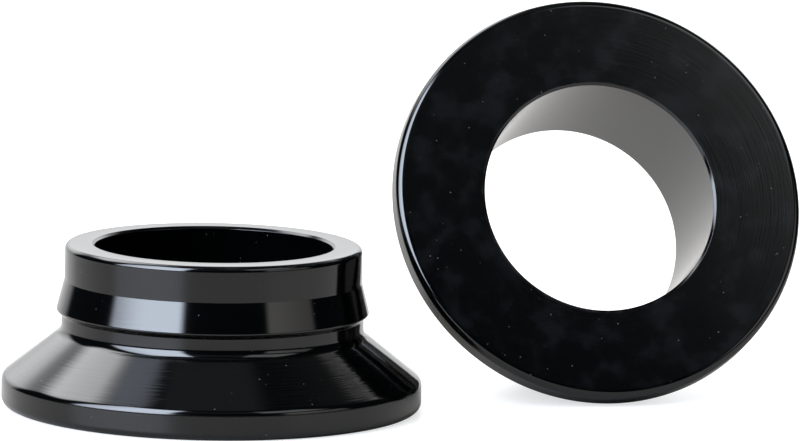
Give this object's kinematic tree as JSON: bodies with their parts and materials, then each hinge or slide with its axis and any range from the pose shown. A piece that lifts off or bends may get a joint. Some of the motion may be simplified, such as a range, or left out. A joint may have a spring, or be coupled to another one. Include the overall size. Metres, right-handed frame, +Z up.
{
  "type": "bottom bracket spindle adapter pair",
  "caption": "Black anodised turned spindle adapters for a bottom bracket: conical flange, neck, tapered lip, bearing nose and through bore. They stand and lie loose.",
  "frame": {"origin": "on the ground, in the middle of the pair's bounding box", "axes": "+Z up, +X from the standing adapter to the lying one, whose flange face looks towards -Y and up"},
  "size_m": [0.0808, 0.0542, 0.0393],
  "materials": {
    "black_anodised": "black anodised over fine turning marks, satin to glossy"
  },
  "bodies": {
    "drive_side": {"drive_side_adapter": "black_anodised"},
    "non_drive_side": {"non_drive_side_adapter": "black_anodised"}
  },
  "joints": [
    {"name": "adapter_lift", "type": "slide", "parent": "drive_side", "child": "non_drive_side", "axis": [0, 0, 1], "range_m": [0, 0.06]}
  ]
}
